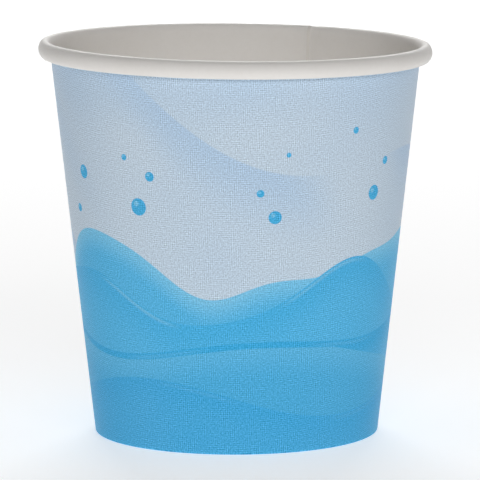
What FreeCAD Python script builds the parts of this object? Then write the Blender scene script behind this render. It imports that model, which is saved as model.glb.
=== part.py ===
"""Small paper drinking cup, in millimetres, +Z up.

The side wall is one sheet of board, white inside and printed outside. Its two ends lap and are glued
along a side seam, its top edge is rolled outward into the rim, and its bottom edge is turned in and up, so
that it clamps the skirt of the base disc. The origin is the centre of the ring that the cup stands on.

Every section is drawn in the plane of radius and height, and is turned about the Z axis."""

import FreeCAD, Part

import os
from math import asin, atan2, copysign, cos, degrees, hypot, pi, sin, sqrt, tan

# Overall size
CUP_HEIGHT = 57.0
RIM_OUTER_R = 28.5
FOOT_OUTER_R = 20.65  # where the wall's outer face, run down, meets the table

# Board
WALL_T = 0.23
BASE_T = 0.22
FILM = 0.03  # sealing film on each side of the skirt

# Rolled rim
RIM_WIDTH = 1.9
RIM_HEIGHT = 2.55
RIM_SHOULDER = 0.15  # how much tighter the roll turns at its top than half its width
TUCK_CLEARANCE = 0.07  # from the lapped wall to the edge that is tucked up behind the roll
TUCK_LENGTH = 0.5

# Base and foot
BASE_RECESS = 4.6  # from the table to the top of the base disc
BASE_BEND_R = 0.4  # inside the bend from disc to skirt
HEM_GAP = 0.4  # from the hem's free edge up to where the disc bends into its skirt
FOLD_R = 0.03  # inside each corner of the foot's fold

# Side seam
SEAM_AZIMUTH = 67.3  # degrees from +X to the inner end of the sheet, on the far side of the cup
SEAM_LAP = 5.2  # measured round the rim
SEAM_JOGGLE = 1.5  # width over which the outer end steps up onto the inner one
SEAM_FULL_Z = 3.0  # below this the lap is pressed thinner, to one thickness at the fold

# The roll follows an oval of four arcs: a tight one at each end and a flatter one on each flank.
HALF_WIDTH = RIM_WIDTH / 2
HALF_HEIGHT = RIM_HEIGHT / 2
TOP_R = HALF_WIDTH - RIM_SHOULDER
FLANK_R = (HALF_WIDTH**2 + (HALF_HEIGHT - TOP_R) ** 2 - TOP_R**2) / (2 * RIM_SHOULDER)
OVAL_R = RIM_OUTER_R - HALF_WIDTH
OVAL_Z = CUP_HEIGHT - HALF_HEIGHT
INNER_FLANK_R = OVAL_R + FLANK_R - HALF_WIDTH  # the flanks' centres, both level with OVAL_Z
OUTER_FLANK_R = OVAL_R - FLANK_R + HALF_WIDTH
SHOULDER_TURN = atan2(HALF_HEIGHT - TOP_R, FLANK_R - HALF_WIDTH)  # where flank meets top, up from level

# The wall leans so that it runs from the foot into the roll's inner flank without a kink.
REACH = INNER_FLANK_R - FOOT_OUTER_R
TAPER = atan2(REACH, OVAL_Z) - asin((FLANK_R - WALL_T) / hypot(REACH, OVAL_Z))
UP_WALL = pi / 2 - TAPER
DOWN_WALL = -pi / 2 - TAPER

HEM_DEPTH = WALL_T + FILM + BASE_T + FILM  # from the wall's outer face to the hem's near face
HEM_TOP = BASE_RECESS - BASE_T - BASE_BEND_R - HEM_GAP
LAP_TURN = degrees(SEAM_LAP / RIM_OUTER_R)
JOGGLE_TURN = degrees(SEAM_JOGGLE / RIM_OUTER_R)

AXIS = (FreeCAD.Vector(0, 0, 0), FreeCAD.Vector(0, 0, 1))
MEETING = 1e-6  # points nearer than this are one


def wall_r(z, depth):
    """Radius at height z of the cone that lies depth inside the wall's outer face."""
    return FOOT_OUTER_R + z * tan(TAPER) - depth / cos(TAPER)


def point(r, z):
    """A point of the section plane."""
    return FreeCAD.Vector(r, 0, z)


def beside(path, shift):
    """Edges of a path that is moved to its right by shift.

    A path is a start point, a heading in radians anticlockwise from outward, and its steps. A step is the
    length of a straight run, or the radius and turn of a bend, where a turn to the left is positive."""
    (r, z), heading, steps = path
    here = point(r + shift * sin(heading), z - shift * cos(heading))
    edges = []
    for step in steps:
        if isinstance(step, tuple):
            radius, turn = step
            arm = copysign(radius, turn) + shift
            centre = here + arm * point(-sin(heading), cos(heading))
            half_way = heading + turn / 2
            heading += turn
            middle = centre + arm * point(sin(half_way), -cos(half_way))
            there = centre + arm * point(sin(heading), -cos(heading))
            edges.append(Part.Arc(here, middle, there).toShape())
        else:
            there = here + step * point(cos(heading), sin(heading))
            edges.append(Part.makeLine(here, there))
        here = there
    return edges


def first(edges):
    """Where a chain of edges starts."""
    return edges[0].Vertexes[0].Point


def last(edges):
    """Where a chain of edges ends."""
    return edges[-1].Vertexes[-1].Point


def between(left, right):
    """The closed outline between two chains of edges that run side by side, or that meet at their ends."""
    ends = [(last(left), last(right)), (first(left), first(right))]
    caps = [Part.makeLine(a, b) for a, b in ends if not a.isEqual(b, MEETING)]
    return Part.Wire(Part.__sortEdges__(left + right + caps))


def foot_path():
    """The white face from the hem's free edge down, under the skirt and up to the foot of the wall."""
    hem_turn = pi / 2 + TAPER
    wall_turn = pi / 2 - TAPER
    hem_corner = FOLD_R * tan(hem_turn / 2)
    wall_corner = FOLD_R * tan(wall_turn / 2)
    hem_run = (HEM_TOP - WALL_T) / cos(TAPER) - hem_corner
    land = (HEM_DEPTH - WALL_T) / cos(TAPER) - hem_corner - wall_corner
    start = (wall_r(HEM_TOP, HEM_DEPTH), HEM_TOP)
    return start, DOWN_WALL, [hem_run, (FOLD_R, hem_turn), land, (FOLD_R, wall_turn)]


def rise_path():
    """The white face from SEAM_FULL_Z up the wall, round the roll's inner flank and over its top."""
    start = (wall_r(SEAM_FULL_Z, WALL_T), SEAM_FULL_Z)
    wall_run = (OVAL_Z + FLANK_R * sin(TAPER) - SEAM_FULL_Z) / cos(TAPER)
    inner_flank = (FLANK_R, -(SHOULDER_TURN - TAPER))
    top = (TOP_R, -(pi - 2 * SHOULDER_TURN))
    return start, UP_WALL, [wall_run, inner_flank, top]


def under_r():
    """Radius of the arc under the roll.

    The arc touches the level of the roll's underside, the outer flank, and the line of the tucked edge,
    which runs up along the wall. That gives a quadratic in the radius."""
    tuck_depth = -(WALL_T + TUCK_CLEARANCE)
    lean = tan(TAPER) + 1 / cos(TAPER)
    across = wall_r(CUP_HEIGHT - RIM_HEIGHT, tuck_depth) - OUTER_FLANK_R
    half = across * lean - HALF_HEIGHT + FLANK_R
    rest = across**2 + HALF_HEIGHT**2 - FLANK_R**2
    return (sqrt(half**2 - lean**2 * rest) - half) / lean**2


def flank_drop():
    """How far below level the outer flank ends, as an angle at its centre."""
    return asin((HALF_HEIGHT - under_r()) / (FLANK_R - under_r()))


def on_outer_flank(turn, depth):
    """Radius and height of a point of the outer flank, turn up from level and depth inside the roll."""
    arm = FLANK_R - depth
    return OUTER_FLANK_R + arm * cos(turn), OVAL_Z + arm * sin(turn)


def tuck_path():
    """The white face from the end of the outer flank, under the roll and up behind it."""
    drop = flank_drop()
    return on_outer_flank(-drop, 0), -pi / 2 - drop, [(under_r(), -(pi - drop + TAPER)), TUCK_LENGTH]


def sheet_edges(depth, lift):
    """One face of the sheet, depth outside its white face, from hem to tucked edge.

    Lift moves the wall and the roll further off that face. It grows from nothing at the foot's fold to its
    full size at SEAM_FULL_Z, and dies away down the roll's outer flank."""
    foot = beside(foot_path(), depth)
    rise = beside(rise_path(), depth + lift)
    tuck = beside(tuck_path(), depth)
    low_wall = Part.makeLine(last(foot), first(rise))
    middle = point(*on_outer_flank((SHOULDER_TURN - flank_drop()) / 2, depth + lift / 2))
    outer_flank = Part.Arc(last(rise), middle, first(tuck)).toShape()
    return [*foot, low_wall, *rise, outer_flank, *tuck]


def sheet_outline(lift):
    """Section of the sheet."""
    return between(sheet_edges(0, lift), sheet_edges(WALL_T, lift))


def lap_outline():
    """Section of the sheet's outer end where it lies on the inner one, from the fold to under the roll."""
    lapped = slice(len(foot_path()[2]), -len(tuck_path()[2]))
    return between(sheet_edges(WALL_T, 0)[lapped], sheet_edges(WALL_T, WALL_T)[lapped])


def turned(shape, azimuth):
    """The shape turned about the cup's axis, in degrees."""
    copy = shape.copy()
    copy.rotate(*AXIS, azimuth)
    return copy


def side_wall():
    """The sheet round the cup, the lap of its ends and the joggle where the outer end steps up."""
    joggle_start = SEAM_AZIMUTH - JOGGLE_TURN
    sheet = Part.Face(sheet_outline(0)).revolve(*AXIS, 360 - JOGGLE_TURN)
    lap = Part.Face(lap_outline()).revolve(*AXIS, LAP_TURN)
    ends = [turned(sheet_outline(0), joggle_start), turned(sheet_outline(WALL_T), SEAM_AZIMUTH)]
    joggle = Part.makeLoft(ends, True, True)
    return turned(sheet, SEAM_AZIMUTH).fuse([turned(lap, SEAM_AZIMUTH), joggle]).removeSplitter()


def base_disc():
    """The base: a flat disc, turned down into a skirt that fills the space between wall and hem."""
    skirt_depth = WALL_T + FILM
    bend_r = BASE_BEND_R + BASE_T
    turn = pi / 2 + TAPER
    corner = bend_r * tan(turn / 2)
    disc_run = wall_r(BASE_RECESS, skirt_depth) - corner
    skirt_run = (BASE_RECESS - WALL_T - FILM) / cos(TAPER) - corner
    path = (0, BASE_RECESS), 0, [disc_run, (bend_r, -turn), skirt_run]
    return Part.Face(between(beside(path, 0), beside(path, BASE_T))).revolve(*AXIS, 360)


os.makedirs("parts", exist_ok=True)
for name, make in {"side_wall": side_wall, "base_disc": base_disc}.items():
    shape = make()
    solid = shape.Solids[0]
    print(name, "solids", len(shape.Solids), "valid", shape.isValid(), "volume", round(shape.Volume, 2))
    solid.exportStep(f"parts/{name}.step")
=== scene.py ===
from functools import reduce
from math import asin, atan2, copysign, cos, degrees, hypot, pi, radians, sin, sqrt, tan

import bpy
import numpy as np
from mathutils import Matrix, Vector


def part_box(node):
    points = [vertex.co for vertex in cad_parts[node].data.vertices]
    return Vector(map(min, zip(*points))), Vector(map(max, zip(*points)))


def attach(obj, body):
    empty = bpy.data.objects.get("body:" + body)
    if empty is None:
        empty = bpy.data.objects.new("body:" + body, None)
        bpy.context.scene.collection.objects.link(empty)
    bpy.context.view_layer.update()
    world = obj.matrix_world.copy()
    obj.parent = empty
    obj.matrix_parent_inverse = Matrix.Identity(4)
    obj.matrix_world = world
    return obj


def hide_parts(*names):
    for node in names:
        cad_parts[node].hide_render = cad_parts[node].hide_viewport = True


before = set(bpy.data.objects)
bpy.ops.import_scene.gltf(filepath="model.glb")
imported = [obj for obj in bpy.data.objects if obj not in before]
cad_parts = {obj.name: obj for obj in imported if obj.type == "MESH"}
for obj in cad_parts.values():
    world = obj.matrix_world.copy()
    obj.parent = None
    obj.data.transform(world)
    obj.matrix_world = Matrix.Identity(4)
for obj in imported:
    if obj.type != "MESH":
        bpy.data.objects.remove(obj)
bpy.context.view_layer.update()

# ---------------------------------------------------------------------------------------------------------
# The cup, in millimetres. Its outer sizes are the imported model's. Sizes that the part's source has too are
# the same here, except that the seam's joggle is spread wider.
# ---------------------------------------------------------------------------------------------------------

MM = 0.001
RIM_OUTER_R, _, CUP_HEIGHT = (float(size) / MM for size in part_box("side_wall")[1])
BASE_OUTER_R, _, BASE_RECESS = (float(size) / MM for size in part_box("base_disc")[1])
FOOT_OUTER_R = 20.65  # where the wall's outer face, run down, meets the table

WALL_T = 0.23
BASE_T = 0.22
FILM = 0.03  # sealing film on each side of the base's skirt

RIM_WIDTH = 1.9
RIM_HEIGHT = 2.55
RIM_SHOULDER = 0.15  # how much tighter the roll turns at its top than half its width
TUCK_CLEARANCE = 0.07  # from the lapped wall to the edge that is tucked up behind the roll
TUCK_LENGTH = 0.5

BASE_BEND_R = 0.4  # inside the bend from disc to skirt
HEM_GAP = 0.4  # from the hem's free edge up to where the disc bends into its skirt
FOLD_R = 0.03  # inside each corner of the foot's fold

# The side seam. Azimuths are in degrees from +X, towards +Y.
SEAM_AZIMUTH = 67.3  # where the sheet's inner end lies
SEAM_LAP = 5.2  # measured round the rim
SEAM_JOGGLE = 3.4  # width over which the outer end steps up onto the inner one
SEAM_FULL_Z = 3.0  # below this the lap is pressed thinner, to one thickness at the fold
INNER_CUT_TURN = 1.8  # degrees over which the sheet's inner end, pressed soft, rounds away
INNER_CUT_SHARE = 0.45  # how much of that is cut edge
OUTER_CUT_TURN = 0.15  # degrees taken up by its outer end, which is cut square
CUT_LIFT = 0.05  # the ends show their cut where the lap lifts them by more than this share
PRESS_TURN = 1.2  # degrees over which the pressed lap fades out on the inner face
PRESS_RISE = 0.03  # how far the inner face stands proud over the pressed lap
ROLL_PRESS = 0.85  # share of the lap's thickness that is pressed out of it in the roll

# The small unevenness of a real cup
SEAM_SWELL = 0.28  # how far the sheet springs out beside the lap
SEAM_SWELL_TURNS = (25, 10)  # degrees over which it does so, before the inner end and after it
SEAM_SWELL_RISE = 8.0  # height above the foot over which it sets in
OUT_OF_ROUND = [(0.05, 2, 0.7), (0.03, 3, 2.1), (0.015, 5, 4.0)]  # size, waves round the cup, phase
RIM_LEAN = 0.0138  # slope of the rim towards +X
RIM_DIP = 0.16  # how much lower the rim lies at its front
BASE_SAG = 0.25
FLUTES = 60
FLUTE_DEPTH = 0.02
FLUTE_LEAD = 0.3  # how far inside the bend the flutes set in
FLUTE_END = 0.8  # length over which they die away at the skirt's edge

# How finely the surfaces are divided: columns round the cup, and rows across the base
LAP_COLUMNS = 12
PLAIN_COLUMNS = 330
JOGGLE_COLUMNS = 16
INNER_END_COLUMNS = 8
BASE_COLUMNS = 240
DISC_ROWS = 28
BEND_ROWS = 8
SKIRT_ROWS = 6
SHARP_TURN = 40  # degrees between two faces that meet in a sharp edge

# The base's bake map: radius and middles of the rounds for its upper and its lower face
ROUND_R = 0.24
UPPER_MIDDLE = 0.25
LOWER_MIDDLE = 0.75
MAP_MIDDLE = 0.5

# The roll is an oval of four arcs, and the wall leans so that it runs into the roll's inner flank.
HALF_WIDTH = RIM_WIDTH / 2
HALF_HEIGHT = RIM_HEIGHT / 2
TOP_R = HALF_WIDTH - RIM_SHOULDER
FLANK_R = (HALF_WIDTH**2 + (HALF_HEIGHT - TOP_R) ** 2 - TOP_R**2) / (2 * RIM_SHOULDER)
OVAL_R = RIM_OUTER_R - HALF_WIDTH
OVAL_Z = CUP_HEIGHT - HALF_HEIGHT
INNER_FLANK_R = OVAL_R + FLANK_R - HALF_WIDTH  # the flanks' centres, both level with OVAL_Z
OUTER_FLANK_R = OVAL_R - FLANK_R + HALF_WIDTH
SHOULDER_TURN = atan2(HALF_HEIGHT - TOP_R, FLANK_R - HALF_WIDTH)  # where flank meets top, up from level
REACH = INNER_FLANK_R - FOOT_OUTER_R
TAPER = atan2(REACH, OVAL_Z) - asin((FLANK_R - WALL_T) / hypot(REACH, OVAL_Z))
HEM_DEPTH = WALL_T + FILM + BASE_T + FILM  # from the wall's outer face to the hem's near face
HEM_TOP = BASE_RECESS - BASE_T - BASE_BEND_R - HEM_GAP

# The seam's azimuths, once round from the inner end, and the fan that the wall's cone unrolls to
JOGGLE_TURN = degrees(SEAM_JOGGLE / RIM_OUTER_R)
OUTER_END = SEAM_AZIMUTH + degrees(SEAM_LAP / RIM_OUTER_R)
INNER_END = SEAM_AZIMUTH + 360
CONE_SLANT = FOOT_OUTER_R / sin(TAPER)  # from the cone's tip to the foot
CONE_FAN = 2 * pi * sin(TAPER)  # radians


def wall_r(z, depth):
    """Radius at height z of the cone that lies depth inside the wall's outer face."""
    return FOOT_OUTER_R + z * tan(TAPER) - depth / cos(TAPER)


def under_r():
    """Radius of the arc under the roll. It touches the level of the roll's underside, the outer flank and
    the line of the tucked edge, which gives a quadratic in the radius."""
    lean = tan(TAPER) + 1 / cos(TAPER)
    across = wall_r(CUP_HEIGHT - RIM_HEIGHT, -(WALL_T + TUCK_CLEARANCE)) - OUTER_FLANK_R
    half = across * lean - HALF_HEIGHT + FLANK_R
    rest = across**2 + HALF_HEIGHT**2 - FLANK_R**2
    return (sqrt(half**2 - lean**2 * rest) - half) / lean**2


def unrolled(turns, up):
    """Where a spot of the wall lies on the unrolled sheet. Turns round the cup from the sheet's outer end
    become an angle of the fan, and the distance from the cone's tip is CONE_SLANT plus up. The middle of the
    fan's foot is at (0, 0)."""
    fan = (turns - 0.5) * CONE_FAN
    return (CONE_SLANT + up) * np.sin(fan), (CONE_SLANT + up) * np.cos(fan) - CONE_SLANT


# ---------------------------------------------------------------------------------------------------------
# Surfaces
# ---------------------------------------------------------------------------------------------------------


def smooth(x):
    """The cubic 3x^2 - 2x^3, held at 0 below 0 and at 1 above 1."""
    x = np.clip(x, 0, 1)
    return x * x * (3 - 2 * x)


def even_steps(low, high, count):
    """Azimuths from low to high in count even steps, with both ends."""
    return np.linspace(low, high, count + 1)


def trace(start, heading, steps):
    """Points, headings and distances along a path in the plane of radius and height.

    A step is (length, pieces) for a straight run or (radius, turn, pieces) for a tangent bend, with a turn to
    the left positive. A bend's points are its centre plus radius times (sin, -cos) of the heading."""
    points, headings, lengths = [np.array([start])], [np.array([heading])], [np.zeros(1)]
    for step in steps:
        share = np.arange(1, step[-1] + 1) / step[-1]
        here, length = points[-1][-1], lengths[-1][-1]
        if len(step) == 3:
            radius, turn, _ = step
            arm = copysign(radius, turn)
            centre = here + arm * np.array([-sin(heading), cos(heading)])
            along = heading + turn * share
            points.append(centre + arm * np.stack([np.sin(along), -np.cos(along)], 1))
            lengths.append(length + radius * abs(turn) * share)
            headings.append(along)
            heading += turn
        else:
            run = step[0] * share
            points.append(here + run[:, None] * np.array([cos(heading), sin(heading)]))
            lengths.append(length + run)
            headings.append(np.full(step[-1], heading))
    return np.concatenate(points), np.concatenate(headings), np.concatenate(lengths)


def right_of(heading):
    """The unit vectors to the right of a path's headings: (sin, -cos) of each."""
    return np.stack([np.sin(heading), -np.cos(heading)], 1)


def sheet_section():
    """The white face of the wall's sheet from the hem's edge to the tucked edge.

    Gives its points, headings, height along the sheet from the foot, and how fully the lap lifts it: not at
    all in the fold, fully from SEAM_FULL_Z to the roll's top, and less and less down the outer flank. Over
    the roll, ROLL_PRESS is pressed out of it little by little."""
    hem_turn, wall_turn = pi / 2 + TAPER, pi / 2 - TAPER
    hem_corner, wall_corner = FOLD_R * tan(hem_turn / 2), FOLD_R * tan(wall_turn / 2)
    under = under_r()
    drop = asin((HALF_HEIGHT - under) / (FLANK_R - under))
    steps = {
        "hem": ((HEM_TOP - WALL_T) / cos(TAPER) - hem_corner, 4),
        "inner corner": (FOLD_R, hem_turn, 4),
        "land": ((HEM_DEPTH - WALL_T) / cos(TAPER) - hem_corner - wall_corner, 1),
        "outer corner": (FOLD_R, wall_turn, 4),
        "low wall": ((SEAM_FULL_Z - WALL_T) / cos(TAPER) - wall_corner, 4),
        "wall": ((OVAL_Z + FLANK_R * sin(TAPER) - SEAM_FULL_Z) / cos(TAPER), 42),
        "inner flank": (FLANK_R, -(SHOULDER_TURN - TAPER), 6),
        "roll top": (TOP_R, -(pi - 2 * SHOULDER_TURN), 14),
        "outer flank": (FLANK_R, -(SHOULDER_TURN + drop), 10),
        "underside": (under, -(pi - drop + TAPER), 12),
        "tucked edge": (TUCK_LENGTH, 3),
    }
    start = (wall_r(HEM_TOP, HEM_DEPTH), HEM_TOP)
    points, headings, lengths = trace(start, -pi / 2 - TAPER, steps.values())
    end = dict(zip(steps, lengths[np.cumsum([step[-1] for step in steps.values()])]))
    foot, top = end["outer corner"], end["roll top"]
    set_in = smooth((lengths - foot) / (end["low wall"] - foot))
    fade_out = smooth((end["outer flank"] - lengths) / (end["outer flank"] - top))
    left_over = 1 - ROLL_PRESS * smooth((lengths - end["wall"]) / (top - end["wall"]))
    return points, headings, lengths - foot, set_in * fade_out * left_over


def sheet_columns():
    """The azimuths at which the sheet's section is set down, once round from its inner end.

    With each come three shares: how far the white face and the printed face are lifted by the lap, and how
    far the pressed lap shows through on the inner face. The white face falls away at the inner end by the
    cube of what is left of it, and the printed face steps where the outer end is cut, from the lap's last
    column to the next. Last come the columns where a cut edge starts, on the white face and the printed."""
    joggle_start = INNER_END - JOGGLE_TURN
    round_start = INNER_END - INNER_CUT_TURN
    lap = even_steps(SEAM_AZIMUTH, OUTER_END - OUTER_CUT_TURN, LAP_COLUMNS)
    plain = even_steps(OUTER_END, joggle_start, PLAIN_COLUMNS)
    joggle = even_steps(joggle_start, round_start, JOGGLE_COLUMNS)[1:]
    rounding = even_steps(round_start, INNER_END, INNER_END_COLUMNS)[1:-1]
    azimuth = np.concatenate([lap, plain, joggle, rounding])

    step_up = smooth((azimuth - joggle_start) / (round_start - joggle_start))
    left = np.clip((INNER_END - azimuth) / INNER_CUT_TURN, 0, 1)
    white_up = step_up * left**3
    print_up = np.maximum(step_up, azimuth <= lap[-1])
    pressed = np.maximum(smooth((OUTER_END + PRESS_TURN - azimuth) / PRESS_TURN), smooth(1 - left))
    inner_cut = (azimuth >= joggle[-1]) & (left > 1 - INNER_CUT_SHARE)
    outer_cut = azimuth == lap[-1]
    return azimuth, white_up, print_up, pressed, inner_cut, outer_cut


def turned(section, azimuth):
    """Sections of radius and height, one to an azimuth, turned about the cup's axis: the radius times the
    azimuth's cosine and sine, and the height."""
    turn = np.radians(azimuth)[:, None]
    radius, height = section[..., 0], section[..., 1]
    return np.stack([radius * np.cos(turn), radius * np.sin(turn), height], -1).reshape(-1, 3)


def settle(points):
    """The small unevenness of a real cup.

    The wall goes out of round by sums of cosines that grow with height. It swells at the seam, where its
    stiff lap is nearly flat: up to the inner end by the square of the way there, and evenly less after it.
    The rim leans, lower towards +X, and dips at the front by the square of the distance forwards. Both grow
    with the square of the height."""
    x, y, z = points.T
    share = np.clip(z / CUP_HEIGHT, 0, 1)
    azimuth = np.arctan2(y, x)
    out = sum(size * np.cos(waves * azimuth + phase) for size, waves, phase in OUT_OF_ROUND) * share
    past = np.degrees(azimuth) - SEAM_AZIMUTH
    before, after = SEAM_SWELL_TURNS
    swell = np.clip(1 + past / before, 0, 1) ** 2 * np.clip(1 - past / after, 0, 1)
    out = out + SEAM_SWELL * swell * smooth(z / SEAM_SWELL_RISE)
    grow = 1 + out / np.maximum(np.hypot(x, y), 1)
    drop = RIM_LEAN * x + RIM_DIP * (np.minimum(y, 0) / RIM_OUTER_R) ** 2
    return np.stack([x * grow, y * grow, z - drop * share**2], -1)


def cells(columns, rows):
    """The cells of a grid that closes on itself both ways: each one's column and row, and the next ones."""
    column, row = np.meshgrid(np.arange(columns), np.arange(rows), indexing="ij")
    column, row = column.ravel(), row.ravel()
    return column, row, (column + 1) % columns, (row + 1) % rows


def by_column(here, there):
    """Each cell's four corners, from a value at its own column and one at the next."""
    return np.stack([here, here, there, there], 1)


def by_row(here, there):
    """Each cell's four corners, from a value at its own row and one at the next."""
    return np.stack([here, there, there, here], 1)


def put_mesh(name, points, faces, finish, materials, maps):
    """A mesh object from whole arrays: points in millimetres, four corners to a face, with -1 for one left
    out, each face's material number, and UV maps given corner by corner."""
    used = faces >= 0
    mesh = bpy.data.meshes.new(name)
    mesh.vertices.add(len(points))
    mesh.vertices.foreach_set("co", (points * MM).astype(np.float32).ravel())
    corners = faces[used]
    mesh.loops.add(len(corners))
    mesh.loops.foreach_set("vertex_index", corners.astype(np.int32))
    sizes = used.sum(1)
    mesh.polygons.add(len(faces))
    mesh.polygons.foreach_set("loop_start", (np.cumsum(sizes) - sizes).astype(np.int32))
    mesh.polygons.foreach_set("material_index", finish.astype(np.int32))
    mesh.polygons.foreach_set("use_smooth", np.ones(len(faces), bool))
    mesh.update(calc_edges=True)
    for label, values in maps.items():
        layer = mesh.uv_layers.new(name=label, do_init=False)
        layer.uv.foreach_set("vector", values[used].astype(np.float32).ravel())
    for material in materials:
        mesh.materials.append(material)
    mesh.validate()
    mesh.set_sharp_from_angle(angle=radians(SHARP_TURN))
    piece = bpy.data.objects.new(name, mesh)
    bpy.context.scene.collection.objects.link(piece)
    return piece


def side_wall_maps(azimuth, along, grid):
    """The wall's maps. flat_sheet is the unrolled sheet in millimetres. round_cup is the turns round the cup
    from the sheet's outer end, and the height along the sheet as a share of the cup's. OFBake has the way
    round the cup across, and the way round the section upwards."""
    column, row, next_column, next_row = grid
    turns = (azimuth - OUTER_END) / 360
    turns = np.where(azimuth < OUTER_END - OUTER_CUT_TURN / 2, turns + 1, turns)
    turns = by_column(turns[column], turns[next_column])
    turns = np.where(turns < turns[:, :1] - 0.5, turns + 1, turns)
    height = np.concatenate([along, along[::-1]])
    height = by_row(height[row], height[next_row])

    around = (azimuth - SEAM_AZIMUTH) / 360
    around_next = np.append(around[1:], 1)
    loop = np.concatenate([along - along[0], 2 * along[-1] - along[0] - along[::-1] + WALL_T])
    loop_next = np.append(loop[1:], loop[-1] + WALL_T)
    bake_across = by_column(around[column], around_next[column])
    bake_up = by_row(loop[row], loop_next[row]) / loop_next[-1]
    return {
        "flat_sheet": np.stack(unrolled(turns, height), -1),
        "round_cup": np.stack([turns, height / CUP_HEIGHT], -1),
        "OFBake": np.stack([bake_across, bake_up], -1),
    }


def make_side_wall(materials):
    """The sheet as a closed surface: round the cup by azimuth, and round the section by white face, tucked
    edge, printed face and hem edge. A point is the section's point moved along its normal by the face's
    depth. The materials are for the white face, the printed face and the cut edges."""
    path, heading, along, lift = sheet_section()
    azimuth, white_up, print_up, pressed, inner_cut, outer_cut = sheet_columns()
    normal = right_of(heading)
    above_fold = smooth((along - SEAM_FULL_Z) / SEAM_FULL_Z)
    white_depth = WALL_T * white_up[:, None] * lift - PRESS_RISE * pressed[:, None] * lift * above_fold
    print_depth = WALL_T + WALL_T * print_up[:, None] * lift
    white = path + white_depth[..., None] * normal
    printed = path + print_depth[..., None] * normal
    points = settle(turned(np.concatenate([white, printed[:, ::-1]], 1), azimuth))

    rows = 2 * len(along)
    grid = column, row, next_column, next_row = cells(len(azimuth), rows)
    faces = by_column(column, next_column) * rows + by_row(row, next_row)
    side = np.repeat([0, 1], len(along))
    raised = np.concatenate([lift, lift[::-1]])
    is_cut = np.where(side[row] == 1, outer_cut[column], inner_cut[column]) & (raised[row] > CUT_LIFT)
    is_cut |= side[row] != side[next_row]
    finish = np.where(is_cut, 2, side[row])
    maps = side_wall_maps(azimuth, along, grid)
    return put_mesh("cup_side_wall", points, faces, finish, materials, maps)


def base_map(azimuth, along, faces, finish):
    """The base's bake map. Each face of the board is a round, with its skirt spread outwards: the distance
    from the middle goes with the length along the board. A narrow ring round the lower one is the cut
    edge."""
    rows = 2 * (len(along) - 1)
    rings = BASE_COLUMNS * rows
    length = np.concatenate([along[1:], along[:0:-1], [0, 0]])
    spot = np.where(faces < rings, faces % rows, rows + faces - rings)
    spoke = np.radians(azimuth)[np.where(faces < rings, faces // rows, 0)]
    past = BASE_T * ((spot == rows // 2 - 1) & (finish == 2)[:, None])
    away = (length[spot] + past) / along[-1] * ROUND_R
    middle = np.where(finish > 0, LOWER_MIDDLE, UPPER_MIDDLE)[:, None]
    return np.stack([middle + away * np.cos(spoke), MAP_MIDDLE + away * np.sin(spoke)], -1)


def make_base(materials):
    """The base disc as a closed surface of revolution: its top face out from the centre, down the skirt,
    across the skirt's cut edge and back along the underside. The disc sags by a parabola, and the skirt is
    fluted where the board is drawn in: a cosine of the azimuth that grows round the bend. The materials are
    for the top face, the underside and the cut edge."""
    bend_r = BASE_BEND_R + BASE_T
    turn = pi / 2 + TAPER
    corner = bend_r * tan(turn / 2)
    disc_run = wall_r(BASE_RECESS, WALL_T + FILM) - corner
    skirt_run = (BASE_RECESS - WALL_T - FILM) / cos(TAPER) - corner
    steps = [(disc_run, DISC_ROWS), (bend_r, -turn, BEND_ROWS), (skirt_run, SKIRT_ROWS)]
    path, heading, along = trace((0, BASE_RECESS), 0, steps)
    azimuth = even_steps(0, 360, BASE_COLUMNS)[:-1]

    set_in = smooth((along - disc_run + FLUTE_LEAD) / (bend_r * turn))
    fade_out = smooth((along[-1] - along) / FLUTE_END)
    flute = FLUTE_DEPTH * np.cos(FLUTES * np.radians(azimuth))[:, None] * set_in * fade_out
    sag = BASE_SAG * np.clip(1 - (along / disc_run) ** 2, 0, 1)
    sagged = path - np.stack([np.zeros(len(sag)), sag], 1)
    top = sagged + flute[..., None] * right_of(heading)
    under = sagged + (BASE_T + flute)[..., None] * right_of(heading)
    rings = turned(np.concatenate([top[:, 1:], under[:, :0:-1]], 1), azimuth)
    centres = np.array([[0, 0, BASE_RECESS - BASE_SAG], [0, 0, BASE_RECESS - BASE_SAG - BASE_T]])
    points = settle(np.concatenate([rings, centres]))

    # the cells between the rings, left open at the centre, and a fan round each centre
    rows = 2 * (len(along) - 1)
    last_top = rows // 2 - 1
    column, row, next_column, next_row = cells(BASE_COLUMNS, rows)
    faces = by_column(column, next_column) * rows + by_row(row, next_row)
    finish = np.where(row < last_top, 0, np.where(row == last_top, 2, 1))
    here = np.arange(BASE_COLUMNS) * rows
    there = np.roll(here, -1)
    each = np.ones(BASE_COLUMNS, int)
    top_fan = np.stack([each * len(rings), here, there, -each], 1)
    under_fan = np.stack([each * (len(rings) + 1), there + rows - 1, here + rows - 1, -each], 1)
    faces = np.concatenate([faces[row < rows - 1], top_fan, under_fan])
    finish = np.concatenate([finish[row < rows - 1], 0 * each, each])
    maps = {"OFBake": base_map(azimuth, along, faces, finish)}
    return put_mesh("cup_base", points, faces, finish, materials, maps)


# ---------------------------------------------------------------------------------------------------------
# Materials
# ---------------------------------------------------------------------------------------------------------


def colour(red, green, blue):
    """A finish's colour, written on the usual 0 to 255 scale, as the shader's linear values, by the sRGB
    curve."""
    value = np.array([red, green, blue]) / 255
    linear = np.where(value <= 0.04045, value / 12.92, ((value + 0.055) / 1.055) ** 2.4)
    return (*linear, 1.0)


# Plain board. Noise is given here as its scale, detail and roughness, and its ends are the values that the
# fade over it starts and stops at.
BOARD_CLOUD = (90, 3.0, 0.55)
BOARD_CLOUD_ENDS = (0.25, 0.8)
BOARD_CLOUD_SHARE = 0.6
BOARD_FIBRE = (1500, 4.0, 0.65)
BOARD_FIBRE_ENDS = (0.35, 0.9)
BOARD_FIBRE_SHARE = 0.4

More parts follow.
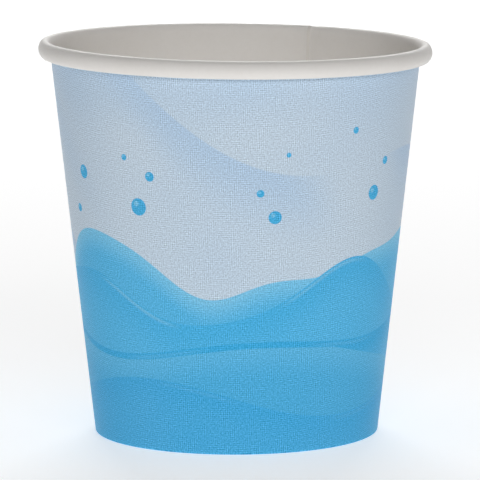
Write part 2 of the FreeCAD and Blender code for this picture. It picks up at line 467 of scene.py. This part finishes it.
# The ink's gloss and the board's fibres under it
INK_ROUGHNESS = 0.5
INK_SPECULAR = 0.14
INK_FIBRE = (2600, 3.0, 0.6)
INK_BUMP = 0.00001

# The ground
GROUND = colour(208, 225, 240)
GROUND_DEEP = colour(189, 215, 240)
GROUND_CLOUD = (0.05, 1.0)
GROUND_CLOUD_ENDS = (0.3, 0.75)
GROUND_CLOUD_SHARE = 0.3
GROUND_RIM_SHADE = (45.0, 54.0)  # heights between which it deepens, as painted shade under the rolled rim
GROUND_RIM_SHADE_SHARE = 0.4

# The sashes in the ground
SASH_COUNT = 3  # how many there are round the cup
SASH_RISE = 21  # height from one to the next, which the shares below are of
SASH_EDGE = (1.0, 0.985)  # its sharp upper edge
SASH_FADE = (0.45, 1.0)  # how it comes up from nothing to that edge
SASH_BOW = 0.35
SASH_BOWS = 2  # how many bows there are round the cup
SASH_BOW_PHASE = 1.0
SASH_END_COUNT = 4  # how often the sashes die away round the cup
SASH_END_RISE = 9  # height over which that moves on by a radian
SASH_END_PHASE = 2.5
SASH_ENDS = (-0.9, 0.8)

# The waves: level, swells (height, count, phase), colour at the edge, colour below, over how far, and the
# strength of the ripple
BACK_WAVE = (
    26.5, [(3.6, 3, 0.10), (1.5, 5, 0.35), (0.5, 9, 0.2)],
    colour(128, 208, 246), colour(92, 193, 242), 4.0, 0.3,
)
FRONT_WAVES = [
    (22.5, [(3.8, 3, 0.30), (1.3, 4, 0.55), (0.5, 7, 0.6)],
     colour(77, 187, 240), colour(90, 193, 243), 7.0, 0.5),
    (18.0, [(3.4, 1, 0.27), (1.4, 3, 0.62)],
     colour(63, 180, 236), colour(88, 191, 242), 6.0, 0.15),
    (13.5, [(3.2, 1, 0.81), (1.0, 2, 0.15)],
     colour(98, 193, 240), colour(81, 184, 235), 5.0, 0.0),
    (7.5, [(2.2, 2, 0.40), (0.8, 3, 0.90)],
     colour(69, 178, 234), colour(76, 181, 235), 5.0, 0.1),
]
LEAST_GAP = 0.9  # from the edge of one front wave down to the next
WAVE_EDGE = 0.07  # how far each side of its edge a wave's ink thins out
RIPPLE = colour(146, 214, 246)
RIPPLE_TOP = (-0.1, -0.45)  # it fades in and out between these heights above the wave's edge
RIPPLE_FOOT = (-1.0, -0.5)
RIPPLE_COUNT = 5  # how often it comes and goes round the cup
RIPPLE_ENDS = (-0.2, 0.9)

# The bubbles: way round from the front in degrees, positive towards +X, height and radius. Their gleams'
# place and size are shares of the radius.
FRONT = 270.0  # the azimuth of the cup's front
BUBBLE = colour(74, 184, 236)
BUBBLE_EDGE = 0.06  # how far each side of its edge a bubble's ink thins out
GLEAM_ASIDE = 0.3
GLEAM_ABOVE = 0.35
GLEAM_SIZE = 0.32
GLEAM_EDGE = 0.12
GLEAM_SHARE = 0.7
BUBBLES = [
    (-34, 35.5, 1.25), (-29, 40.0, 0.7), (-38.5, 42.5, 0.45), (8, 38.0, 0.55), (13, 34.5, 0.95),
    (17, 43.5, 0.35), (41, 46.5, 0.5), (52, 37.0, 1.1), (57, 41.5, 0.6), (86, 33.5, 0.8),
    (95, 39.5, 1.35), (101, 45.0, 0.5), (128, 36.0, 0.6), (150, 41.0, 0.9), (157, 35.5, 1.2),
    (-170, 44.5, 0.45), (-152, 37.5, 0.75), (-131, 35.0, 1.3), (-124, 41.5, 0.55), (-98, 38.0, 0.95),
    (-91, 44.0, 0.5), (-66, 34.0, 0.6), (-60, 39.5, 1.0),
]

# The press's screen
SCREEN_GAMMA = 2.2
RULING = 0.305  # from line to line
RULING_DEPTH = 0.052
RULING_PATCH = (0.5, 1.0)
RULING_PATCH_ENDS = (0.4, 0.62)
GRAIN = (4.6, 0.0)
GRAIN_DEPTH = 0.255


class Field:
    """A number that varies over a surface. Arithmetic on it adds Math nodes to its material."""

    def __init__(self, tree, value):
        self.tree = tree
        self.value = value

    def math(self, operation, *others):
        node = self.tree.nodes.new("ShaderNodeMath")
        node.operation = operation
        for socket, value in zip(node.inputs, (self, *others)):
            join(self.tree, value, socket)
        return Field(self.tree, node.outputs[0])

    def __add__(self, other):
        return self.math("ADD", other)

    def __sub__(self, other):
        return self.math("SUBTRACT", other)

    def __mul__(self, other):
        return self.math("MULTIPLY", other)

    def __truediv__(self, other):
        return self.math("DIVIDE", other)

    def sin(self):
        return self.math("SINE")

    def fraction(self):
        return self.math("FRACT")

    def lowest(self, other):
        return self.math("MINIMUM", other)

    def highest(self, other):
        return self.math("MAXIMUM", other)

    def fade(self, low, high):
        """0 below low and 1 above high, or the other way round if low is the greater, with a smooth step."""
        node = self.tree.nodes.new("ShaderNodeMapRange")
        node.interpolation_type = "SMOOTHSTEP"
        join(self.tree, self, node.inputs["Value"])
        node.inputs["From Min"].default_value = min(low, high)
        node.inputs["From Max"].default_value = max(low, high)
        node.inputs["To Min"].default_value = float(low > high)
        node.inputs["To Max"].default_value = float(low < high)
        return Field(self.tree, node.outputs["Result"])

    def steps(self, stops):
        """Straight lines between stops, each a value of this field and the value that it gets there."""
        node = self.tree.nodes.new("ShaderNodeValToRGB")
        low, high = stops[0][0], stops[-1][0]
        join(self.tree, (self - low) / (high - low), node.inputs["Fac"])
        ramp = node.color_ramp.elements
        while len(ramp) < len(stops):
            ramp.new(1.0)
        for element, (place, value) in zip(ramp, stops):
            element.position = (place - low) / (high - low)
            element.color = (value, value, value, 1)
        return Field(self.tree, node.outputs["Color"])


def join(tree, value, socket):
    """Links a field or an output to a socket, or sets the socket to a plain value."""
    if isinstance(value, Field):
        value = value.value
    if isinstance(value, bpy.types.NodeSocket):
        tree.links.new(value, socket)
    else:
        socket.default_value = value


def new_finish(name):
    """A material, its node tree and its shader."""
    material = bpy.data.materials.new(name)
    material.use_nodes = True
    tree = material.node_tree
    return material, tree, tree.nodes["Principled BSDF"]


def sheet_map(tree, label):
    """The vector of one of the piece's own UV maps."""
    node = tree.nodes.new("ShaderNodeUVMap")
    node.uv_map = label
    return node.outputs["UV"]


def object_place(tree):
    """The place on the piece, in metres."""
    return tree.nodes.new("ShaderNodeTexCoord").outputs["Object"]


def parts_of(tree, vector):
    """A vector's first two numbers as fields."""
    node = tree.nodes.new("ShaderNodeSeparateXYZ")
    tree.links.new(vector, node.inputs[0])
    return Field(tree, node.outputs["X"]), Field(tree, node.outputs["Y"])


def noise_node(tree, vector, scale, detail, roughness=0.5):
    """Cloudy noise, with scale in clouds to the vector's unit."""
    node = tree.nodes.new("ShaderNodeTexNoise")
    tree.links.new(vector, node.inputs["Vector"])
    node.inputs["Scale"].default_value = scale
    node.inputs["Detail"].default_value = detail
    node.inputs["Roughness"].default_value = roughness
    return node


def noise(tree, vector, *settings):
    """Cloudy noise from 0 to 1."""
    return Field(tree, noise_node(tree, vector, *settings).outputs[0])


def noise_pair(tree, vector, *settings):
    """Two cloudy noises from 0 to 1 that have nothing to do with each other."""
    return parts_of(tree, noise_node(tree, vector, *settings).outputs["Color"])


def distance_from(tree, vector, spot):
    """How far a map's place is from a spot of it."""
    node = tree.nodes.new("ShaderNodeVectorMath")
    node.operation = "DISTANCE"
    tree.links.new(vector, node.inputs[0])
    node.inputs[1].default_value = (*spot, 0.0)
    return Field(tree, node.outputs["Value"])


def blend_colour(tree, share, below, above):
    """Below where share is 0 and above where it is 1."""
    node = tree.nodes.new("ShaderNodeMix")
    node.data_type = "RGBA"
    join(tree, share, node.inputs["Factor"])
    join(tree, below, node.inputs["A"])
    join(tree, above, node.inputs["B"])
    return node.outputs["Result"]


def lighten(tree, tint, amount):
    """A colour with a field added to its red, green and blue alike, as a screen shows them: the sum of the
    field and the colour to the power 1 / SCREEN_GAMMA, to the power SCREEN_GAMMA."""
    shown, put_back = tree.nodes.new("ShaderNodeGamma"), tree.nodes.new("ShaderNodeGamma")
    total = tree.nodes.new("ShaderNodeVectorMath")
    shown.inputs["Gamma"].default_value = 1 / SCREEN_GAMMA
    put_back.inputs["Gamma"].default_value = SCREEN_GAMMA
    join(tree, tint, shown.inputs["Color"])
    tree.links.new(shown.outputs["Color"], total.inputs[0])
    join(tree, amount, total.inputs[1])
    tree.links.new(total.outputs["Vector"], put_back.inputs["Color"])
    return put_back.outputs["Color"]


def finish_shader(tree, shader, picture, roughness, specular, bump, bump_depth):
    """Sets a board's shader: its picture, its gloss, and its bump, whose full range is bump_depth metres."""
    tree.links.new(picture, shader.inputs["Base Color"])
    shader.inputs["Roughness"].default_value = roughness
    shader.inputs["Specular IOR Level"].default_value = specular
    node = tree.nodes.new("ShaderNodeBump")
    node.inputs["Distance"].default_value = bump_depth
    join(tree, bump, node.inputs["Height"])
    tree.links.new(node.outputs["Normal"], shader.inputs["Normal"])


def board_finish(name, tint, deep, roughness, specular, bump_depth):
    """Plain board: a clouded tint with fine fibres, and a bump of the same fibres."""
    material, tree, shader = new_finish(name)
    place = object_place(tree)
    fibre = noise(tree, place, *BOARD_FIBRE)
    clouded = noise(tree, place, *BOARD_CLOUD).fade(*BOARD_CLOUD_ENDS) * BOARD_CLOUD_SHARE
    share = clouded + fibre.fade(*BOARD_FIBRE_ENDS) * BOARD_FIBRE_SHARE
    picture = blend_colour(tree, share, tint, deep)
    finish_shader(tree, shader, picture, roughness, specular, fibre, bump_depth)
    return material


def crest(turn, level, swells):
    """Height of a wave's edge in millimetres: level plus a sine of the way round the cup for each swell,
    given as its height, how many go round, and its phase in turns."""
    sines = [((turn * count + phase) * (2 * pi)).sin() * size for size, count, phase in swells]
    return reduce(Field.__add__, sines) + level


def lay_wave(tree, picture, turn, height, edge, tint, deep, depth, line):
    """Paints over the picture below an edge: tint at the edge, deep from depth below it, and a thin pale
    ripple under the edge that comes and goes round the cup. The depth is also the phase of that, in radians,
    so that the ripples of two waves come and go in different places."""
    over = height - edge
    body = blend_colour(tree, over.fade(0.0, -depth), tint, deep)
    picture = blend_colour(tree, over.fade(WAVE_EDGE, -WAVE_EDGE), picture, body)
    comes_and_goes = (turn * (2 * pi * RIPPLE_COUNT) + depth).sin().fade(*RIPPLE_ENDS)
    thin = over.fade(*RIPPLE_TOP) * over.fade(*RIPPLE_FOOT) * comes_and_goes
    return blend_colour(tree, thin * line, picture, RIPPLE)


def lay_ground(tree, turn, height, flat):
    """The pale ground. It deepens in broad slanting sashes, each sharp along its upper edge and fading out
    below it, and in clouds. Towards the rim it deepens as well, which is painted shade under the roll."""
    bow = (turn * (2 * pi * SASH_BOWS) + SASH_BOW_PHASE).sin() * SASH_BOW
    sweep = (turn * SASH_COUNT + height / SASH_RISE + bow).fraction()
    ends = (turn * (2 * pi * SASH_END_COUNT) + height / SASH_END_RISE + SASH_END_PHASE).sin()
    sash = sweep.fade(*SASH_EDGE) * sweep.fade(*SASH_FADE) * ends.fade(*SASH_ENDS)
    ground = blend_colour(tree, sash, GROUND, GROUND_DEEP)
    clouds = noise(tree, flat, *GROUND_CLOUD).fade(*GROUND_CLOUD_ENDS) * GROUND_CLOUD_SHARE
    # painted shade under the rolled rim: the ground deepens over the wall's top few millimetres
    painted_rim_shade = height.fade(*GROUND_RIM_SHADE) * GROUND_RIM_SHADE_SHARE
    return blend_colour(tree, clouds + painted_rim_shade, ground, GROUND_DEEP)


def lay_bubbles(tree, picture, flat):
    """Round bubbles, each with a small soft gleam above and beside its middle."""
    edges, gleams = [], []
    for along, up, radius in BUBBLES:
        x, y = unrolled((FRONT + along - OUTER_END) / 360 % 1, up)
        gleam_at = (x - GLEAM_ASIDE * radius, y + GLEAM_ABOVE * radius)
        edges.append(distance_from(tree, flat, (x, y)) - radius)
        gleams.append(distance_from(tree, flat, gleam_at) - GLEAM_SIZE * radius)
    inside = reduce(Field.lowest, edges).fade(BUBBLE_EDGE, -BUBBLE_EDGE)
    gleam = reduce(Field.lowest, gleams).fade(GLEAM_EDGE, -GLEAM_EDGE)
    picture = blend_colour(tree, inside, picture, BUBBLE)
    return blend_colour(tree, gleam * GLEAM_SHARE, picture, RIPPLE)


def press_speckle(tree, flat):
    """The fine square screen of the press: two crossing rulings, each a sine across the sheet, that come and
    go in patches, and grain between them."""
    across, upward = noise_pair(tree, flat, *RULING_PATCH)
    flat_x, flat_y = parts_of(tree, flat)
    ruling_x = (flat_x * (2 * pi / RULING)).sin() * across.fade(*RULING_PATCH_ENDS)
    ruling_y = (flat_y * (2 * pi / RULING)).sin() * upward.fade(*RULING_PATCH_ENDS)
    grain = noise(tree, flat, *GRAIN) - 0.5
    return (ruling_x + ruling_y) * RULING_DEPTH + grain * GRAIN_DEPTH


def print_finish():
    """Printed board: the pale ground, bubbles, rolling waves in layers of blue from the foot up, and the fine
    square screen of the press."""
    material, tree, shader = new_finish("printed_board")
    turn, height = parts_of(tree, sheet_map(tree, "round_cup"))
    height = height * CUP_HEIGHT
    flat = sheet_map(tree, "flat_sheet")
    picture = lay_bubbles(tree, lay_ground(tree, turn, height, flat), flat)

    # the wave behind, and the waves in front, each lower than the one before
    level, swells, *look = BACK_WAVE
    picture = lay_wave(tree, picture, turn, height, crest(turn, level, swells), *look)
    edge = None
    for level, swells, *look in FRONT_WAVES:
        here = crest(turn, level, swells)
        edge = here if edge is None else here.lowest(edge - LEAST_GAP)
        picture = lay_wave(tree, picture, turn, height, edge, *look)

    picture = lighten(tree, picture, press_speckle(tree, flat))
    fibre = noise(tree, object_place(tree), *INK_FIBRE)
    finish_shader(tree, shader, picture, INK_ROUGHNESS, INK_SPECULAR, fibre, INK_BUMP)
    return material


printed_board = print_finish()

# Each plain board's tint, its deeper tint, roughness, specular level, and depth of its bump in metres
film_board = board_finish("film_coated_board", colour(243, 240, 236), colour(237, 233, 228), 0.42, 0.08, 3e-6)
raw_board = board_finish("raw_board", colour(216, 212, 202), colour(198, 192, 180), 0.8, 0.25, 2e-5)
cut_edge = board_finish("cut_edge", colour(231, 227, 221), colour(222, 218, 211), 0.9, 0.2, 2e-5)

side_wall = make_side_wall([film_board, printed_board, cut_edge])
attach(side_wall, "root")
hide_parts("side_wall")

base = make_base([film_board, raw_board, cut_edge])
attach(base, "root")
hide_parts("base_disc")

# ---------------------------------------------------------------------------------------------------------
# Camera, floor and light
# ---------------------------------------------------------------------------------------------------------

CAMERA_PLACE = (0, -0.6253, 0.118)  # metres
CAMERA_PITCH = 8.202  # degrees down from level
CAMERA_YAW = 0.053  # degrees to the right of +Y
CAMERA_ROLL = -0.148  # degrees
LENS_LENGTH = 325  # millimetres
LENS_SENSOR = 36
LENS_CLIP = (0.05, 20)  # metres

FLOOR_REACH = 12.0  # metres from its middle to its edges
FLOOR_DROP = 0.00002  # how far it lies below the foot, so that the two don't flicker
FLOOR_TINT = (0.75, 0.75, 0.75, 1)
FLOOR_ROUGHNESS = 0.95
FLOOR_GLOW = 0.5
BACKDROP = 0.98
WHITE = (1, 1, 1, 1)

# The light from all round: the height that it comes from, -1 for straight below to 1 for straight above, and
# its strength
WORLD_LIGHT = [(-1.0, 0.57), (-0.5, 1.1), (-0.2, 0.02), (0.0, 0.0), (0.2, 0.03), (0.5, 0.11), (1.0, 0.31)]

# Each softbox's name, its degrees to the right of the camera and above level, its width and height in
# metres, and its level
LAMP_REACH = 1.5  # metres
SOFTBOXES = [
    ("front_softbox", 0, 22, 0.7, 0.4, 0.226),
    ("right_softbox", 25, 22, 0.5, 0.4, 0.112),
    ("left_low_softbox", -75, -20, 0.8, 0.5, 0.145),
    ("right_low_softbox", 75, -20, 0.8, 0.5, 0.105),
    ("low_softbox", 0, -50, 0.8, 0.5, 0.122),
    ("back_softbox", 180, 35, 0.8, 0.6, 0.5),
    ("rear_softbox", 180, -12, 1.4, 0.5, 0.165),
]
TOP_LEVEL = 0.3
TOP_BLEND = 0.4  # share of its beam over which it fades out
TOP_SOFTNESS = 0.01  # metres


def place_camera():
    """A long lens in front of the cup and a little above it, looking slightly down."""
    pitch, yaw, roll = radians(CAMERA_PITCH), radians(CAMERA_YAW), radians(CAMERA_ROLL)
    ahead = Vector((sin(yaw) * cos(pitch), cos(yaw) * cos(pitch), -sin(pitch)))
    level = Vector((cos(yaw), -sin(yaw), 0))
    down = ahead.cross(level)
    right = cos(roll) * level - sin(roll) * down
    below = sin(roll) * level + cos(roll) * down
    lens = bpy.data.cameras.new("front_camera")
    lens.lens = LENS_LENGTH
    lens.sensor_width = LENS_SENSOR
    lens.clip_start, lens.clip_end = LENS_CLIP
    camera = bpy.data.objects.new("front_camera", lens)
    turn = Matrix((right, -below, -ahead)).transposed()
    camera.matrix_world = Matrix.Translation(CAMERA_PLACE) @ turn.to_4x4()
    bpy.context.scene.collection.objects.link(camera)
    bpy.context.scene.camera = camera


def seen_directly(tree):
    """1 for rays from the camera, from gloss and through glass, and 0 for light that falls on things."""
    path = tree.nodes.new("ShaderNodeLightPath")
    kinds = ("Is Camera Ray", "Is Glossy Ray", "Is Transmission Ray")
    return reduce(Field.highest, [Field(tree, path.outputs[kind]) for kind in kinds])


def make_floor():
    """A wide pale sheet under the cup. It takes the cup's shadow, and the light it would throw back comes
    from the world's lower half instead. From beneath it is clear, so that the cup's underside can be seen."""
    corners = [(-1, -1), (1, -1), (1, 1), (-1, 1)]
    points = [(x * FLOOR_REACH, y * FLOOR_REACH, -FLOOR_DROP) for x, y in corners]
    mesh = bpy.data.meshes.new("floor")
    mesh.from_pydata(points, [], [(0, 1, 2, 3)])
    floor = bpy.data.objects.new("floor", mesh)
    bpy.context.scene.collection.objects.link(floor)
    material, tree, shader = new_finish("floor_sheet")
    shader.inputs["Base Color"].default_value = FLOOR_TINT
    shader.inputs["Roughness"].default_value = FLOOR_ROUGHNESS
    shader.inputs["Specular IOR Level"].default_value = 0.0
    shader.inputs["Emission Color"].default_value = WHITE
    join(tree, seen_directly(tree) * FLOOR_GLOW, shader.inputs["Emission Strength"])
    clear = tree.nodes.new("ShaderNodeBsdfTransparent")
    either = tree.nodes.new("ShaderNodeMixShader")
    tree.links.new(tree.nodes.new("ShaderNodeNewGeometry").outputs["Backfacing"], either.inputs[0])
    tree.links.new(shader.outputs[0], either.inputs[1])
    tree.links.new(clear.outputs[0], either.inputs[2])
    tree.links.new(either.outputs[0], tree.nodes["Material Output"].inputs["Surface"])
    mesh.materials.append(material)
    floor.visible_diffuse = False
    floor.visible_shadow = False


def light_world():
    """Light from all round whose strength goes with the height it comes from, and a white backdrop."""
    world = bpy.data.worlds.new("studio")
    world.use_nodes = True
    tree = world.node_tree
    bpy.context.scene.world = world
    background = tree.nodes["Background"]
    up = tree.nodes.new("ShaderNodeSeparateXYZ")
    tree.links.new(tree.nodes.new("ShaderNodeTexCoord").outputs["Generated"], up.inputs[0])
    cast = Field(tree, up.outputs["Z"]).steps(WORLD_LIGHT)
    seen = seen_directly(tree)
    join(tree, cast * (seen * -1.0 + 1.0) + seen * BACKDROP, background.inputs["Strength"])
    background.inputs["Color"].default_value = WHITE


def add_softbox(name, azimuth, elevation, width, height, level):
    """A soft lamp LAMP_REACH from the cup's middle, azimuth degrees to the right of the camera and elevation
    above level. Level is how bright it alone would make a white card that faces it."""
    turn, rise = radians(azimuth), radians(elevation)
    aim = Vector((0, 0, CUP_HEIGHT / 2 * MM))
    away = Vector((sin(turn) * cos(rise), -cos(turn) * cos(rise), sin(rise)))
    lamp = bpy.data.lights.new(name, "AREA")
    lamp.shape = "RECTANGLE"
    lamp.size, lamp.size_y = width, height
    lamp.energy = level * (pi * LAMP_REACH) ** 2
    holder = bpy.data.objects.new(name, lamp)
    holder.location = aim + LAMP_REACH * away
    holder.rotation_euler = away.to_track_quat("Z", "Y").to_euler()
    bpy.context.scene.collection.objects.link(holder)


def add_top_spot():
    """A soft-edged lamp LAMP_REACH above the table that shines straight down, onto the base disc alone."""
    lamp = bpy.data.lights.new("top_spot", "SPOT")
    lamp.energy = TOP_LEVEL * (2 * pi * LAMP_REACH) ** 2
    lamp.spot_size = 2 * atan2(BASE_OUTER_R * MM, LAMP_REACH)
    lamp.spot_blend = TOP_BLEND
    lamp.shadow_soft_size = TOP_SOFTNESS
    holder = bpy.data.objects.new("top_spot", lamp)
    holder.location = (0, 0, LAMP_REACH)
    bpy.context.scene.collection.objects.link(holder)


bpy.context.scene.view_settings.view_transform = "Standard"
place_camera()
make_floor()
light_world()
for softbox in SOFTBOXES:
    add_softbox(*softbox)
add_top_spot()
